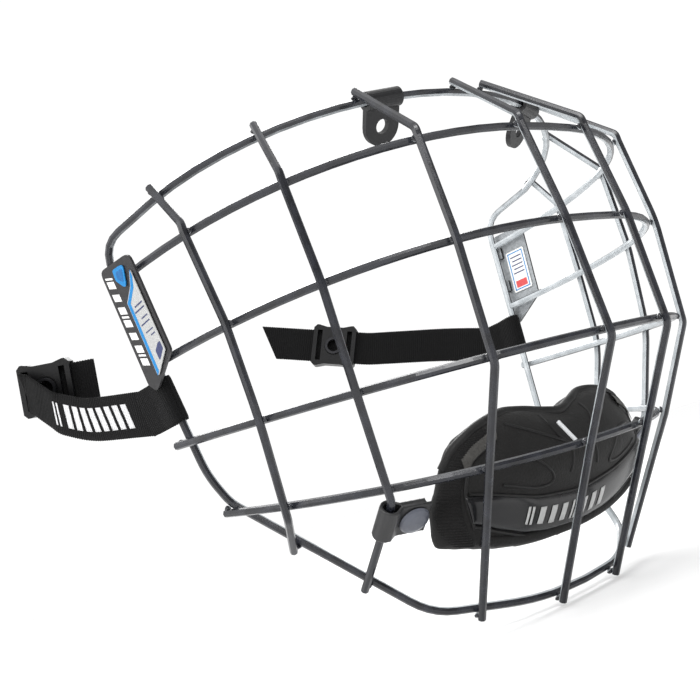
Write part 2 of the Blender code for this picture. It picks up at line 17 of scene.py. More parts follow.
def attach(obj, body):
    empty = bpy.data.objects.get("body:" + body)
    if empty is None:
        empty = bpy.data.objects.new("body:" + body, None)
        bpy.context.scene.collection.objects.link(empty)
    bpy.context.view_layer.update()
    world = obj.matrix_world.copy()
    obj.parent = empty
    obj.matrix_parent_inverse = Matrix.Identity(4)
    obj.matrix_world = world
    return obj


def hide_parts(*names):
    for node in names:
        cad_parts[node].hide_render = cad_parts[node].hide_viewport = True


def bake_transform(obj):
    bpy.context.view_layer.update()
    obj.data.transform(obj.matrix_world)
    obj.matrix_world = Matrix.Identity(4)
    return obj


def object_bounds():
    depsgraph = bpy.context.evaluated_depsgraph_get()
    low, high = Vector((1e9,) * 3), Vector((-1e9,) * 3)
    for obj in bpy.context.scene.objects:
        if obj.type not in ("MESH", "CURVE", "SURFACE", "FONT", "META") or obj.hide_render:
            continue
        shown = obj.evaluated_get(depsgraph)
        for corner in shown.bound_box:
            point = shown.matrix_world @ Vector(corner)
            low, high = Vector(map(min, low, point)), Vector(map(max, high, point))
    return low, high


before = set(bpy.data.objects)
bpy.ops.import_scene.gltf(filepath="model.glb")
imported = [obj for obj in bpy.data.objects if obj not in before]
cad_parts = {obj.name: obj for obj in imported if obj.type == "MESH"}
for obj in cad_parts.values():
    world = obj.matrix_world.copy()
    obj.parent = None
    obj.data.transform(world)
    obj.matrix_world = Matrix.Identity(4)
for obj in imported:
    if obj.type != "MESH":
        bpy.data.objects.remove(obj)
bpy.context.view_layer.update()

ORIGIN = Vector((0.0, -74.2, 51.8))
MM = 0.001


def F(x, y, z):
    return (Vector((x, y, z)) - ORIGIN) * MM


# ---------------------------------------------------------------- materials


def nodes_of(name):
    """A new material, its shader, add() for nodes and a function that links sockets.

    A keyword of add() is the node's own setting or, failing that, a socket's value.
    """
    made = bpy.data.materials.new(name)
    made.use_nodes = True
    tree = made.node_tree
    shader = tree.nodes["Principled BSDF"]

    def add(kind, **values):
        node = tree.nodes.new(kind)
        for key, value in values.items():
            if hasattr(node, key):
                setattr(node, key, value)
            else:
                node.inputs[key.replace("_", " ")].default_value = value
        return node

    return made, shader, add, tree.links.new


def ramp(add, stops):
    node = add("ShaderNodeValToRGB")
    band = node.color_ramp
    while len(band.elements) < len(stops):
        band.elements.new(0.5)
    for spot, (at, colour) in zip(band.elements, stops):
        spot.position = at
        spot.color = (*colour, 1.0)
    return node


def scale_rgb(c, k):
    return tuple(x * k for x in c)


def uneven_gloss(add, wire, shader, source, low, high):
    """Roughness that drifts between low and high with a source of 0 to 1."""
    gloss = add("ShaderNodeMapRange")
    gloss.inputs["To Min"].default_value = low
    gloss.inputs["To Max"].default_value = high
    wire(source, gloss.inputs["Value"])
    wire(gloss.outputs["Result"], shader.inputs["Roughness"])


def raised(add, wire, shader, height, strength, distance):
    """Bump from a height, over a distance in metres."""
    relief = add("ShaderNodeBump", Strength=strength, Distance=distance)
    wire(height, relief.inputs["Height"])
    wire(relief.outputs["Normal"], shader.inputs["Normal"])


def speckled(name, colour, rough, metal=0.0, grain=900.0, bump=0.05, vary=0.25, coat=0.0, spec=0.5):
    """A coated or moulded surface: fine grain, slow colour drift, uneven gloss."""
    made, shader, add, wire = nodes_of(name)
    where = add("ShaderNodeTexCoord")
    slow = add("ShaderNodeTexNoise", Scale=60.0, Detail=4.0)
    fine = add("ShaderNodeTexNoise", Scale=grain, Detail=3.0)
    for noise in (slow, fine):
        wire(where.outputs["Object"], noise.inputs["Vector"])
    tone = ramp(add, [(0.3, scale_rgb(colour, 1 - vary)), (0.7, scale_rgb(colour, 1 + vary))])
    wire(slow.outputs["Fac"], tone.inputs["Fac"])
    wire(tone.outputs["Color"], shader.inputs["Base Color"])
    uneven_gloss(add, wire, shader, slow.outputs["Fac"], max(0.05, rough - 0.08), min(1.0, rough + 0.1))
    raised(add, wire, shader, fine.outputs["Fac"], bump, 0.0002)
    shader.inputs["Metallic"].default_value = metal
    shader.inputs["Specular IOR Level"].default_value = spec
    shader.inputs["Coat Weight"].default_value = coat
    shader.inputs["Coat Roughness"].default_value = 0.2
    return made


def two_tone_wire():
    """Graphite coating outside, pale grey on the side that faces the wearer, with a soft edge between."""
    made, shader, add, wire = nodes_of("wire_coating")
    where = add("ShaderNodeTexCoord")
    inside = add("ShaderNodeVectorMath", operation="SUBTRACT")
    inside.inputs[0].default_value = F(0.0, -18.0, -20.0)
    wire(where.outputs["Object"], inside.inputs[1])
    unit = add("ShaderNodeVectorMath", operation="NORMALIZE")
    wire(inside.outputs[0], unit.inputs[0])
    facing = add("ShaderNodeVectorMath", operation="DOT_PRODUCT")
    wire(unit.outputs[0], facing.inputs[0])
    wire(where.outputs["Normal"], facing.inputs[1])
    slow = add("ShaderNodeTexNoise", Scale=220.0, Detail=5.0)
    fine = add("ShaderNodeTexNoise", Scale=2600.0, Detail=2.0)
    for noise in (slow, fine):
        wire(where.outputs["Object"], noise.inputs["Vector"])
    edge = add("ShaderNodeMath", operation="MULTIPLY_ADD")
    edge.inputs[1].default_value = 0.16
    wire(slow.outputs["Fac"], edge.inputs[0])
    wire(facing.outputs["Value"], edge.inputs[2])
    mask = add("ShaderNodeMapRange", interpolation_type="SMOOTHSTEP")
    mask.inputs["From Min"].default_value = 0.36
    mask.inputs["From Max"].default_value = 0.62
    wire(edge.outputs["Value"], mask.inputs["Value"])
    dark = ramp(add, [(0.35, (0.006, 0.0065, 0.009)), (0.65, (0.016, 0.0175, 0.024))])
    pale = ramp(add, [(0.3, (0.36, 0.39, 0.41)), (0.7, (0.52, 0.55, 0.57))])
    wire(slow.outputs["Fac"], dark.inputs["Fac"])
    wire(slow.outputs["Fac"], pale.inputs["Fac"])
    mix = add("ShaderNodeMix", data_type="RGBA")
    wire(mask.outputs["Result"], mix.inputs["Factor"])
    wire(dark.outputs["Color"], mix.inputs["A"])
    wire(pale.outputs["Color"], mix.inputs["B"])
    wire(mix.outputs["Result"], shader.inputs["Base Color"])
    uneven_gloss(add, wire, shader, slow.outputs["Fac"], 0.18, 0.32)
    raised(add, wire, shader, fine.outputs["Fac"], 0.12, 0.0002)
    shader.inputs["Specular IOR Level"].default_value = 0.5
    return made


def woven(name, colour, sheen):
    """Webbing: ribs across the tape and herringbone yarns, laid out by the UV map (millimetres), with
    painted shade in the grooves and a painted highlight on the crests.
    """
    made, shader, add, wire = nodes_of(name)
    uv = add("ShaderNodeUVMap", uv_map="tape")
    split = add("ShaderNodeSeparateXYZ")
    wire(uv.outputs["UV"], split.inputs[0])

    def math(operation, *values):
        node = add("ShaderNodeMath", operation=operation)
        for socket, value in zip(node.inputs, values):
            if isinstance(value, (int, float)):
                socket.default_value = value
            else:
                wire(value, socket)
        return node.outputs["Value"]

    rib_pitch, fold_pitch, twill_pitch, yarn_pitch = 1.0, 4.0, 0.8, 0.55
    along, across = split.outputs["X"], split.outputs["Y"]
    ribs = math("SINE", math("MULTIPLY", along, 2 * pi / rib_pitch))
    fold = math("ABSOLUTE", math("SUBTRACT", math("FRACT", math("MULTIPLY", across, 1 / fold_pitch)), 0.5))
    slant = math("ADD", along, math("MULTIPLY", fold, 5.0))
    twill = math("SINE", math("MULTIPLY", slant, 2 * pi / twill_pitch))
    yarn = math("SINE", math("MULTIPLY", across, 2 * pi / yarn_pitch))
    cross_yarns = math("ADD", math("MULTIPLY", twill, 0.35), math("MULTIPLY", yarn, 0.3))
    height = math("ADD", math("MULTIPLY", ribs, 0.45), cross_yarns)
    where = add("ShaderNodeTexCoord")
    lint = add("ShaderNodeTexNoise", Scale=1400.0, Detail=6.0)
    wire(where.outputs["Object"], lint.inputs["Vector"])
    total = math("ADD", height, math("MULTIPLY", lint.outputs["Fac"], 0.8))
    # Base colour follows the relief: painted shade in the grooves between ribs and yarns, painted highlight
    # on their crests; the lint adds random tone.
    tone = ramp(add, [(0.0, scale_rgb(colour, 0.45)), (0.55, colour), (1.0, scale_rgb(colour, 2.4))])
    wire(math("MULTIPLY_ADD", total, 0.3, 0.35), tone.inputs["Fac"])
    wire(tone.outputs["Color"], shader.inputs["Base Color"])
    raised(add, wire, shader, total, 0.7, 0.00025)
    shader.inputs["Roughness"].default_value = 0.82
    shader.inputs["Sheen Weight"].default_value = sheen
    shader.inputs["Sheen Roughness"].default_value = 0.5
    shader.inputs["Specular IOR Level"].default_value = 0.12
    return made


def knit(name, colour, scale, bump, rough, sheen):
    """Knitted or brushed cloth: small cells with lint over them."""
    made, shader, add, wire = nodes_of(name)
    where = add("ShaderNodeTexCoord")
    cells = add("ShaderNodeTexVoronoi", Scale=scale)
    slow = add("ShaderNodeTexNoise", Scale=90.0, Detail=4.0)
    lint = add("ShaderNodeTexNoise", Scale=scale * 1.3, Detail=5.0)
    for texture in (cells, slow, lint):
        wire(where.outputs["Object"], texture.inputs["Vector"])
    tone = ramp(add, [(0.25, scale_rgb(colour, 0.7)), (0.75, scale_rgb(colour, 1.5))])
    both = add("ShaderNodeMath", operation="MULTIPLY_ADD")
    both.inputs[1].default_value = 0.5
    wire(lint.outputs["Fac"], both.inputs[0])
    half = add("ShaderNodeMath", operation="MULTIPLY")
    half.inputs[1].default_value = 0.5
    wire(slow.outputs["Fac"], half.inputs[0])
    wire(half.outputs["Value"], both.inputs[2])
    wire(both.outputs["Value"], tone.inputs["Fac"])
    wire(tone.outputs["Color"], shader.inputs["Base Color"])
    raised(add, wire, shader, cells.outputs["Distance"], bump, 0.0003)
    shader.inputs["Roughness"].default_value = rough
    shader.inputs["Sheen Weight"].default_value = sheen
    shader.inputs["Sheen Roughness"].default_value = 0.4
    shader.inputs["Specular IOR Level"].default_value = 0.22
    return made


def printed(name, colour, rough, metal=0.0):
    """Printed film: faint brushed streaks and a soft clear coat."""
    made, shader, add, wire = nodes_of(name)
    where = add("ShaderNodeTexCoord")
    stretch = add("ShaderNodeMapping")
    stretch.inputs["Scale"].default_value = (400.0, 4000.0, 400.0)
    wire(where.outputs["Object"], stretch.inputs["Vector"])
    grain = add("ShaderNodeTexNoise", Scale=1.0, Detail=3.0)
    wire(stretch.outputs["Vector"], grain.inputs["Vector"])
    streak = 0.06
    tone = ramp(add, [(0.3, scale_rgb(colour, 1 - streak)), (0.7, scale_rgb(colour, 1 + streak))])
    wire(grain.outputs["Fac"], tone.inputs["Fac"])
    wire(tone.outputs["Color"], shader.inputs["Base Color"])
    uneven_gloss(add, wire, shader, grain.outputs["Fac"], rough - 0.05, rough + 0.08)
    shader.inputs["Metallic"].default_value = metal
    shader.inputs["Coat Weight"].default_value = 0.2
    return made


COATING = two_tone_wire()
SHEET = speckled("black_sheet", (0.006, 0.006, 0.007), 0.4, grain=1800.0, bump=0.12, spec=0.4)
SILVER = printed("label_silver", (0.46, 0.465, 0.46), 0.38, 0.2)
BLUE = printed("label_blue", (0.003, 0.2, 0.5), 0.3)
BLUE_DARK = printed("label_blue_dark", (0.004, 0.12, 0.34), 0.3)
WHITE = printed("print_white", (0.8, 0.8, 0.79), 0.45)
RED = printed("print_red", (0.62, 0.05, 0.05), 0.4)
NAVY = printed("print_navy", (0.03, 0.04, 0.12), 0.4)
PLASTIC = speckled(
    "buckle_plastic", (0.003, 0.003, 0.0034), 0.38, spec=0.3, grain=2600.0, bump=0.18, vary=0.2
)
GUNMETAL = speckled("gunmetal", (0.03, 0.03, 0.033), 0.3, metal=0.7, grain=1500.0, bump=0.04)
CAP = speckled("snap_enamel", (0.085, 0.092, 0.115), 0.36, metal=0.25, grain=1300.0, bump=0.05, coat=0.3)
WEBBING = woven("webbing", (0.004, 0.004, 0.0042), 0.03)
THREAD = knit("thread", (0.007, 0.007, 0.007), 3000.0, 0.4, 0.7, 0.04)
PRINT = woven("webbing_print", (0.74, 0.74, 0.75), 0.006)
CUP_CLOTH = knit("cup_cloth", (0.0085, 0.0082, 0.008), 1300.0, 0.35, 0.72, 0.06)
CUP_SMOOTH = speckled(
    "cup_moulded", (0.006, 0.0058, 0.0058), 0.5, grain=1500.0, bump=0.16, vary=0.3, spec=0.3
)
MESH_CLOTH = knit("cup_mesh", (0.05, 0.048, 0.045), 900.0, 1.0, 0.8, 0.1)
BINDING = knit("binding_knit", (0.0065, 0.0062, 0.0062), 1800.0, 0.6, 0.85, 0.06)
BAND = speckled("band_rubber", (0.004, 0.004, 0.005), 0.24, grain=700.0, bump=0.02, vary=0.1, spec=0.4)
PEG = speckled("peg_coating", (0.55, 0.56, 0.57), 0.4, grain=1500.0, bump=0.05, vary=0.08)
RUBBER = speckled("clip_rubber", (0.013, 0.013, 0.014), 0.4, grain=2400.0, bump=0.14, vary=0.2)


# ---------------------------------------------------------------- mesh helpers


def new_object(name, mesh, skins):
    obj = bpy.data.objects.new(name, mesh)
    bpy.context.scene.collection.objects.link(obj)
    for skin in skins if isinstance(skins, (list, tuple)) else [skins]:
        mesh.materials.append(skin)
    return obj


def from_work(name, work, skins, smooth=True):
    bmesh.ops.recalc_face_normals(work, faces=work.faces)
    mesh = bpy.data.meshes.new(name)
    work.to_mesh(mesh)
    work.free()
    if smooth:
        mesh.shade_smooth()
    return new_object(name, mesh, skins)


def dress(node, skin, bevel=0.0):
    """A carried-over CAD node with its own material and, if wanted, eased edges."""
    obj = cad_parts[node]
    obj.data.materials.clear()
    obj.data.materials.append(skin)
    if bevel:
        ease = obj.modifiers.new("eased_edges", "BEVEL")
        ease.width = bevel * MM
        ease.segments = 2
        ease.limit_method = "ANGLE"
        ease.angle_limit = radians(35)
        ease.harden_normals = False
    return obj


def tube(name, path, radius, skin):
    """A round cord or bead along world points, its radius in millimetres."""
    curve = bpy.data.curves.new(name, "CURVE")
    curve.dimensions = "3D"
    curve.bevel_depth = radius * MM
    curve.bevel_resolution = 3
    curve.use_fill_caps = True
    line = curve.splines.new("POLY")
    line.points.add(len(path) - 1)
    for spot, point in zip(line.points, path):
        spot.co = (*point, 1.0)
    line.use_smooth = True
    obj = bpy.data.objects.new(name, curve)
    bpy.context.scene.collection.objects.link(obj)
    curve.materials.append(skin)
    return obj


def smooth_path(points, steps):
    """A Catmull-Rom curve through the points, with this many steps between two of them."""
    spots = [Vector(p) for p in points]
    spots = [spots[0] * 2 - spots[1]] + spots + [spots[-1] * 2 - spots[-2]]
    path = []
    for a, b, c, d in zip(spots, spots[1:], spots[2:], spots[3:]):
        for k in range(steps):
            s = k / steps
            bend = (2 * a - 5 * b + 4 * c - d) * s**2 + (3 * b - a - 3 * c + d) * s**3
            path.append(0.5 * (2 * b + (c - a) * s + bend))
    path.append(spots[-2])
    return path


def joined(name, objects):
    """Several objects made one mesh piece, materials kept."""
    work = bmesh.new()
    skins = []
    graph = bpy.context.evaluated_depsgraph_get()
    for obj in objects:
        mesh = bpy.data.meshes.new_from_object(obj.evaluated_get(graph))
        mesh.transform(obj.matrix_world)
        slots = []
        for material in mesh.materials:
            if material not in skins:
                skins.append(material)
            slots.append(skins.index(material))
        for face in mesh.polygons:
            face.material_index = slots[face.material_index]
        work.from_mesh(mesh)
        bpy.data.meshes.remove(mesh)
    for obj in objects:
        bpy.data.objects.remove(obj, do_unlink=True)
    made = bpy.data.meshes.new(name)
    work.to_mesh(made)
    work.free()
    made.shade_smooth()
    return new_object(name, made, skins)


def mesh_tree(mesh):
    return BVHTree.FromPolygons([v.co for v in mesh.vertices], [p.vertices for p in mesh.polygons])


def fill_grid(work, grid):
    """Four-sided faces between the rows of vertices."""
    for r, s in zip(grid, grid[1:]):
        for j in range(len(r) - 1):
            work.faces.new((r[j], r[j + 1], s[j + 1], s[j]))


# ---------------------------------------------------------------- shape of the cage

WIRE = 2.7
GAP = 0.3
LAP = WIRE + 2 * GAP
INSIDE = Vector((0.0, -25.0, -25.0))
# Half width, depth, height at the side, rise towards the front, superellipse power, y of the ends.
HOOPS = {
    "brow": (105.3, 107.0, 29.5, -0.052, 2.43, -2.6),
    "eye": (100.4, 109.8, 0.0, -0.012, 2.50, -3.5),
    "nose": (99.6, 116.0, -27.5, 0.074, 2.27, 1.8),
    "mouth": (92.0, 91.0, -53.4, 0.155, 2.25, -3.0),
}
# Degrees round the brow, eye, nose and mouth hoops at which each upright crosses them.
UPRIGHTS = {
    "outer": (16.0, 15.0, 18.0, 15.5),
    "side": (36.0, 34.0, 35.0, 37.0),
    "front": (61.5, 59.5, 58.0, 57.0),
    "middle": (83.0, 83.0, 82.0, 81.0),
}
SIDE_TOP = Vector((107.0, -0.3, 42.6))
SIDE_LOW = Vector((94.6, -2.8, -39.8))
SIDE_UP = (SIDE_TOP - SIDE_LOW).normalized()


def superellipse(angle, half, depth, power):
    return half * abs(cos(angle)) ** (2 / power), depth * abs(sin(angle)) ** (2 / power)


def hoop_point(name, degrees):
    half, depth, side_z, rise, power, end_y = HOOPS[name]
    x, back = superellipse(radians(degrees), half, depth, power)
    return Vector((x, end_y - back, side_z - rise * back))


def lap_normal(on, along, lead):
    """The direction out of the cage, square to a hoop and to the upright that crosses it."""
    normal = along.cross(lead).normalized()
    return normal if normal.dot(on - INSIDE) > 0 else -normal


def rounded(corners, steps):
    """The path through (point, radius) corners, each corner eased by a quadratic curve."""
    path = [Vector(corners[0][0])]
    for before, (corner, radius), after in zip(corners, corners[1:], corners[2:]):
        corner = Vector(corner)
        back = Vector(before[0]) - corner
        ahead = Vector(after[0]) - corner
        if radius <= 0 or back.angle(ahead) > pi - 0.002:
            path.append(corner)
            continue
        cut = min(radius / tan(back.angle(ahead) / 2), 0.48 * back.length, 0.48 * ahead.length)
        first = corner + back.normalized() * cut
        last = corner + ahead.normalized() * cut
        for k in range(steps + 1):
            s = k / steps
            path.append(first * (1 - s) ** 2 + corner * (2 * s * (1 - s)) + last * s**2)
    path.append(Vector(corners[-1][0]))
    return path


# ---------------------------------------------------------------- wires and welds

WIRES = ["rim_wire"] + [h + "_bar" for h in HOOPS]
WIRES += ["%s_upright_%s" % (kind, word) for kind in UPRIGHTS for word in ("left", "right")]
SHARP = radians(62)
END_ROUND = 0.55
for node in WIRES + ["chin_peg"]:
    obj = dress(node, PEG if node == "chin_peg" else COATING)
    obj.data.shade_smooth()
    ends = obj.modifiers.new("rounded_ends", "BEVEL")
    ends.width = END_ROUND * MM
    ends.segments = 3
    ends.limit_method = "ANGLE"
    ends.angle_limit = SHARP
    crisp = obj.modifiers.new("crisp", "EDGE_SPLIT")
    crisp.split_angle = SHARP


def bead(work, center, out, along, size):
    """A puddle of weld: a squashed ball with an uneven skin."""
    x = along.normalized()
    z = (out - x * x.dot(out)).normalized()
    turn = Matrix((x, z.cross(x), z)).transposed().to_4x4()
    made = bmesh.ops.create_icosphere(work, subdivisions=3, radius=1.0)
    for v in made["verts"]:
        wobble = 1.0 + 0.07 * sin(v.co.x * 7 + center.x * 5) * cos(v.co.y * 6 + center.z * 3)
        v.co = Vector((v.co.x * size[0], v.co.y * size[1], v.co.z * size[2])) * wobble * MM
    bmesh.ops.transform(work, matrix=Matrix.Translation(F(*center)) @ turn, verts=made["verts"])


HALFWAY = -0.06


def make_welds():
    """Beads where uprights cross the hoops, and where uprights and hoops end on the rim."""
    work = bmesh.new()
    rim = mesh_tree(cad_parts["rim_wire"].data)
    down = Vector((0, 0, -1))
    for side, word in ((1, "left"), (-1, "right")):
        flip = Vector((side, 1, 1))
        for kind, crossings in UPRIGHTS.items():
            for name, degrees in zip(HOOPS, crossings):
                on = hoop_point(name, degrees)
                along = hoop_point(name, degrees + 0.5) - hoop_point(name, degrees - 0.5)
                out = lap_normal(on, along, down)
                bead(work, (on + out * LAP / 2) * flip, out * flip, along * flip, (1.7, 1.15, 1.0))
            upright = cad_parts["%s_upright_%s" % (kind, word)].data
            for upper in (True, False):
                half = [v.co for v in upright.vertices if (v.co.z > HALFWAY) == upper]
                end = min(half, key=lambda co: rim.find_nearest(co)[3])
                on_rim = rim.find_nearest(end)[0]
                middle = (end + on_rim) / 2 / MM + ORIGIN
                bead(work, middle, end - on_rim, Vector((1.0, 0.2 * side, 0.1)), (1.6, 1.15, 0.9))
        for name in HOOPS:
            end = F(*(hoop_point(name, 0) * flip))
            on_rim = rim.find_nearest(end)[0]
            middle = (end + on_rim) / 2 / MM + ORIGIN
            bead(work, middle, on_rim - end, Vector((0, 0, 1)), (1.5, 1.3, 1.1))
    piece = from_work("weld_beads", work, COATING)
    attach(piece, "cage")


make_welds()

# ---------------------------------------------------------------- brackets and plates

for word in ("left", "right"):
    dress("brow_bracket_" + word, SHEET, 0.35)
    dress("label_field_" + word, SILVER, 0.1)
    dress("label_badge_" + word, BLUE, 0.1)
    dress("buckle_" + word, PLASTIC, 0.7)
    dress("snap_socket_" + word, GUNMETAL, 0.25)
    dress("snap_cap_" + word, CAP, 0.2)
    dress("snap_stud_" + word, GUNMETAL, 0.15)


def plate_skin():
    """Charcoal enamel outside, bare grey on the face that looks at the rim."""
    made, shader, add, wire = nodes_of("plate_enamel")
    where = add("ShaderNodeTexCoord")
    spot = add("ShaderNodeSeparateXYZ")
    facing = add("ShaderNodeSeparateXYZ")
    wire(where.outputs["Object"], spot.inputs[0])
    wire(where.outputs["Normal"], facing.inputs[0])
    side = add("ShaderNodeMath", operation="SIGN")
    wire(spot.outputs["X"], side.inputs[0])
    turned = add("ShaderNodeMath", operation="MULTIPLY")
    wire(side.outputs["Value"], turned.inputs[0])
    wire(facing.outputs["X"], turned.inputs[1])
    mask = add("ShaderNodeMapRange")
    mask.inputs["From Min"].default_value = -0.8
    mask.inputs["From Max"].default_value = -0.7
    mask.inputs["To Min"].default_value = 1.0
    mask.inputs["To Max"].default_value = 0.0
    wire(turned.outputs["Value"], mask.inputs["Value"])
    grain = add("ShaderNodeTexNoise", Scale=700.0, Detail=5.0)
    wire(where.outputs["Object"], grain.inputs["Vector"])
    front = ramp(add, [(0.3, (0.012, 0.0115, 0.0125)), (0.7, (0.02, 0.019, 0.021))])
    back = ramp(add, [(0.3, (0.25, 0.27, 0.28)), (0.7, (0.38, 0.4, 0.42))])
    mix = add("ShaderNodeMix", data_type="RGBA")
    for tone, name in ((front, "A"), (back, "B")):
        wire(grain.outputs["Fac"], tone.inputs["Fac"])
        wire(tone.outputs["Color"], mix.inputs[name])
    wire(mask.outputs["Result"], mix.inputs["Factor"])
    wire(mix.outputs["Result"], shader.inputs["Base Color"])
    uneven_gloss(add, wire, shader, grain.outputs["Fac"], 0.34, 0.5)
    raised(add, wire, shader, grain.outputs["Fac"], 0.06, 0.0002)
    return made


PLATE_SKIN = plate_skin()
for word in ("left", "right"):
    dress("label_plate_" + word, PLATE_SKIN, 0.25)
dress("inner_label_left", WHITE, 0.1)


def plate_matrix(side):
    """Local X back along +Y, local Y up the side rim, at the eye bar's height."""
    share = (0 - SIDE_LOW.z) / (SIDE_TOP.z - SIDE_LOW.z)
    on = SIDE_LOW.lerp(SIDE_TOP, share)
    up = Vector((SIDE_UP.x, 0.0, SIDE_UP.z)).normalized()
    outward = Vector((up.z, 0.0, -up.x))
    spot = Vector((on.x, 0.0, 0.0))
    flip = Vector((side, 1.0, 1.0))
    turn = Matrix([Vector((0, 1, 0)), up * flip, outward * flip]).transposed().to_4x4()
    return Matrix.Translation(F(*(spot * flip))) @ turn


def outline_faces(work, corners, lift, thickness, matrix, index):
    """A thin closed slab of the (x, y) outline, standing on `lift`."""
    low = [work.verts.new(matrix @ (Vector((x, y, lift)) * MM)) for x, y in corners]
    high = [work.verts.new(matrix @ (Vector((x, y, lift + thickness)) * MM)) for x, y in corners]
    faces = [work.faces.new(low[::-1]), work.faces.new(high)]
    for k in range(len(corners)):
        j = (k + 1) % len(corners)
        faces.append(work.faces.new((low[k], low[j], high[j], high[k])))
    for face in faces:
        face.material_index = index


def soft_outline(corners):
    path = rounded([((*spot, 0.0), radius) for spot, radius in corners], 4)
    return [(p.x, p.y) for p in path[:-1]]


def slanted(x, y, wide, tall, lean):
    """A generic slanted bar."""
    return [(x, y), (x + wide, y + lean), (x + wide, y + lean + tall), (x, y + tall)]


PLATE_OUT = 3.5
PLATE_T = 0.9
FILM_T = 0.3
PRINT_T = 0.05
PLATE_FACE = PLATE_OUT + PLATE_T / 2
FIELD_FACE = PLATE_FACE + GAP + FILM_T
INNER_FACE = PLATE_OUT - PLATE_T / 2 - GAP - FILM_T
EDGE_LINE = [
    (-6.2, -4.0), (-6.8, 21.2), (-11.7, 25.3), (-14.7, 30.2),
    (-14.7, 28.0), (-12.9, 24.6), (-8.2, 20.6), (-7.6, -2.9),
]
KITE = [
    ((-9.6, 32.0), 0), ((-11.4, 32.0), 0.9), ((-9.4, 27.6), 0.8),
    ((-7.0, 29.9), 0.8), ((-7.3, 32.0), 0.9), ((-9.5, 32.0), 0),
]
CORNER_MARK = [
    ((-12.6, 5.2), 0), ((-14.2, 5.6), 0.4), ((-14.2, 2.9), 0.5),
    ((-10.2, -0.2), 0.5), ((-10.2, 3.4), 0.4), ((-12.5, 5.18), 0),
]
# Start x and y, width and height of each plain line on the silver field.
PLAIN_LINES = [
    (-14.0, 19.2, 4.6, 0.5), (-14.0, 17.6, 5.6, 0.5), (-13.9, 14.8, 3.6, 0.45),
    (-13.9, 13.0, 5.2, 0.45), (-13.8, 10.2, 4.4, 0.4), (-13.8, 8.6, 2.4, 0.4),
]


def ride_cage(piece):
    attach(piece, "cage")


def make_plate_print(side, word):
    """White bars on the plate, and an edge line, a kite, plain lines and a corner mark on its field."""
    where = plate_matrix(side)
    work = bmesh.new()
    for k in range(7):
        outline_faces(work, slanted(-3.9, 0.2 + 4.55 * k, 3.5, 2.5, 1.1), PLATE_FACE, 0.12, where, 0)
    for k in range(3):
        outline_faces(work, slanted(-3.9, 3.4 + 13.6 * k, 3.5, 0.7, 1.1), PLATE_FACE, 0.12, where, 0)
    outline_faces(work, EDGE_LINE, FIELD_FACE, 0.06, where, 1)
    outline_faces(work, soft_outline(KITE), FIELD_FACE, PRINT_T, where, 2)
    for x, y, wide, tall in PLAIN_LINES:
        outline_faces(work, slanted(x, y, wide, tall, -0.12 * wide), FIELD_FACE, PRINT_T, where, 3)
    outline_faces(work, soft_outline(CORNER_MARK), FIELD_FACE, PRINT_T, where, 3)
    ride_cage(from_work("plate_print_" + word, work, [WHITE, BLUE, BLUE_DARK, NAVY], smooth=False))


def make_inner_print():
    """A blue frame, five short lines and a red block on the inner label."""
    where = plate_matrix(1)
    work = bmesh.new()
    low, high, back, front = 6.4, 24.2, -14.0, -5.4
    line = 0.5
    margin = 1.2

    def block(x1, y1, x2, y2, index):
        corners = [(x1, y1), (x2, y1), (x2, y2), (x1, y2)]
        outline_faces(work, corners, INNER_FACE - PRINT_T, PRINT_T, where, index)

    block(back, low, front, low + line, 0)
    block(back, high - line, front, high, 0)
    block(back, low, back + line, high, 0)
    block(front - line, low, front, high, 0)
    for k in range(5):
        y = 21.6 - 1.9 * k
        block(back + margin, y, front - margin - 0.7 * (k % 2), y + 0.55, 2)
    block(back + margin, low + 1.0, front - margin, low + 4.2, 1)
    ride_cage(from_work("inner_label_print", work, [BLUE, RED, NAVY], smooth=False))


make_plate_print(1, "left")
make_plate_print(-1, "right")
make_inner_print()

# ---------------------------------------------------------------- straps

WEB = 16.0
WEB_T = 1.1
SEWN = 16.0
LOOP_R = WIRE / 2 + GAP + WEB_T / 2
LEFT_RUN = (((93.0, 36.0, -5.0), 60.0), ((73.0, 65.0, 5.0), 40.0), ((43.8, 105.9, 26.0), 0))
BUCKLE_AT = Vector((-95.69, 74.02, 14.11))
RIGHT_TIP = Vector((-84.0, 58.8, 11.3))
RIGHT_ALONG = (RIGHT_TIP - BUCKLE_AT).normalized()
RING_SIDE = Vector((-0.798, -0.594, -0.102))
SLOT = BUCKLE_AT - RIGHT_ALONG * 7.3
RIGHT_RUN = (
    ((-100.8, 45.9, -6.0), 60.0),
    ((-103.2, 61.0, 1.5), 20.0),
    (tuple(SLOT + RING_SIDE * 4.4), 1.7),
    (tuple(SLOT), 1.25),
    (tuple(RIGHT_TIP), 0),
)


def loop_path(side, sewn_outside):
    """The sewn loop round the side rim, from its short end, and the direction up the rim."""
    on = SIDE_LOW.lerp(SIDE_TOP, 0.33) * Vector((side, 1, 1))
    up = SIDE_UP * Vector((side, 1, 1))
    back = (Vector((0, 1, 0)) - up * up.y).normalized()
    out = back.cross(up) * (side if not sewn_outside else -side)
    ply = (WEB_T + GAP) / 2 + 0.1
    turn = [(-ply, SEWN), (-ply, SEWN / 2), (-LOOP_R, 2.2)]
    turn += [(-LOOP_R * cos(radians(a)), -LOOP_R * sin(radians(a))) for a in range(0, 181, 15)]
    turn += [(LOOP_R, 2.2), (ply, SEWN / 2), (ply, SEWN)]
    return [on + out * u + back * v for u, v in turn], up


